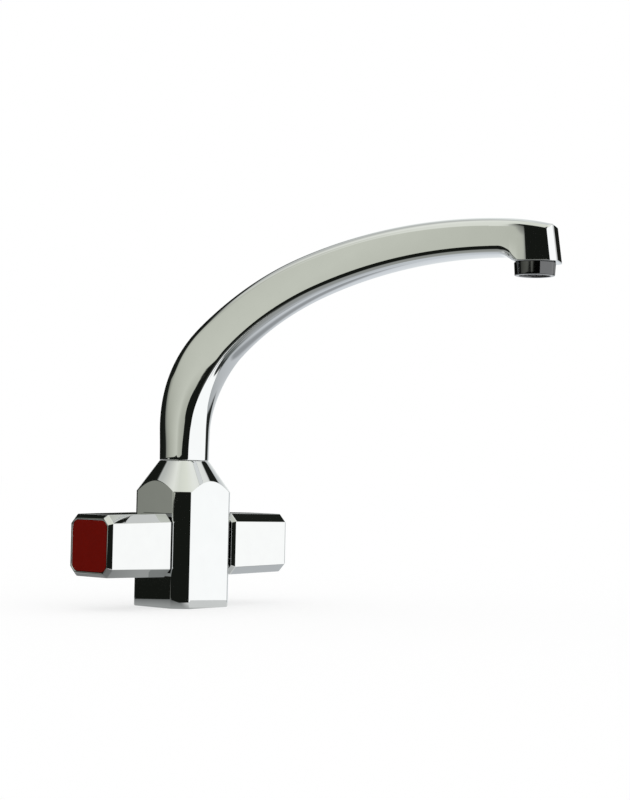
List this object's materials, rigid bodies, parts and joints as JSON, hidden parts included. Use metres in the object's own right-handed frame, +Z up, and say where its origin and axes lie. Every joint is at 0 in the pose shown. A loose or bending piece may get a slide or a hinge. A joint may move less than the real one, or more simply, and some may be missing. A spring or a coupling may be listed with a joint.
{
  "type": "two handle kitchen faucet",
  "caption": "Deck-mounted chrome kitchen mixer tap: square body, a square bar handle on each side, tall arched swivel spout with an aerator.",
  "frame": {"origin": "centre of the body's underside, where it stands on the sink deck", "axes": "+Z up along the spout's swivel axis, -Y to the front, towards the user, -X to the hot handle, +X to the cold handle"},
  "size_m": [0.184, 0.2378, 0.2352],
  "materials": {
    "plated_brass": "polished chrome plate on brass",
    "plated_zinc": "polished chrome plate on die-cast zinc",
    "brass": "machined",
    "steel": "bright stainless",
    "rubber": "smooth black",
    "ceramic": "lapped white ceramic",
    "white_plastic": "turned acetal",
    "grey_plastic": "moulded acetal",
    "red_plastic": "glossy dark red",
    "blue_plastic": "glossy dark blue"
  },
  "bodies": {
    "body": {"mixer_body": "plated_brass", "base_gasket": "rubber", "hot_valve_housing": "brass", "hot_seat_seal": "rubber", "hot_fixed_disc": "ceramic", "hot_housing_o_ring": "rubber", "cold_valve_housing": "brass", "cold_seat_seal": "rubber", "cold_fixed_disc": "ceramic", "cold_housing_o_ring": "rubber"},
    "swivel_spout": {"spout": "plated_brass", "spout_spigot": "brass", "spigot_o_rings": "rubber", "spigot_slip_rings": "white_plastic", "spout_clip": "steel", "aerator_housing": "plated_brass", "aerator_gasket": "rubber", "aerator_insert": "grey_plastic", "aerator_screen": "grey_plastic"},
    "hot_control": {"hot_handle": "plated_zinc", "hot_spline_bush": "white_plastic", "hot_handle_screw": "steel", "hot_index_plate": "red_plastic", "hot_moving_disc": "ceramic", "hot_spindle": "brass", "hot_glide_washer": "white_plastic", "hot_spindle_o_rings": "rubber", "hot_spindle_circlip": "steel"},
    "cold_control": {"cold_handle": "plated_zinc", "cold_spline_bush": "white_plastic", "cold_handle_screw": "steel", "cold_index_plate": "blue_plastic", "cold_moving_disc": "ceramic", "cold_spindle": "brass", "cold_glide_washer": "white_plastic", "cold_spindle_o_rings": "rubber", "cold_spindle_circlip": "steel"}
  },
  "joints": [
    {"name": "spout_swivel", "type": "hinge", "parent": "body", "child": "swivel_spout", "pos_m": [0, 0, 0.0894], "axis": [0, 0, 1], "continuous": true},
    {"name": "hot_turn", "type": "hinge", "parent": "body", "child": "hot_control", "pos_m": [-0.05, 0, 0.0381], "axis": [1, 0, 0], "range_deg": [0, 90]},
    {"name": "cold_turn", "type": "hinge", "parent": "body", "child": "cold_control", "pos_m": [0.05, 0, 0.0381], "axis": [1, 0, 0], "range_deg": [0, 90]}
  ]
}
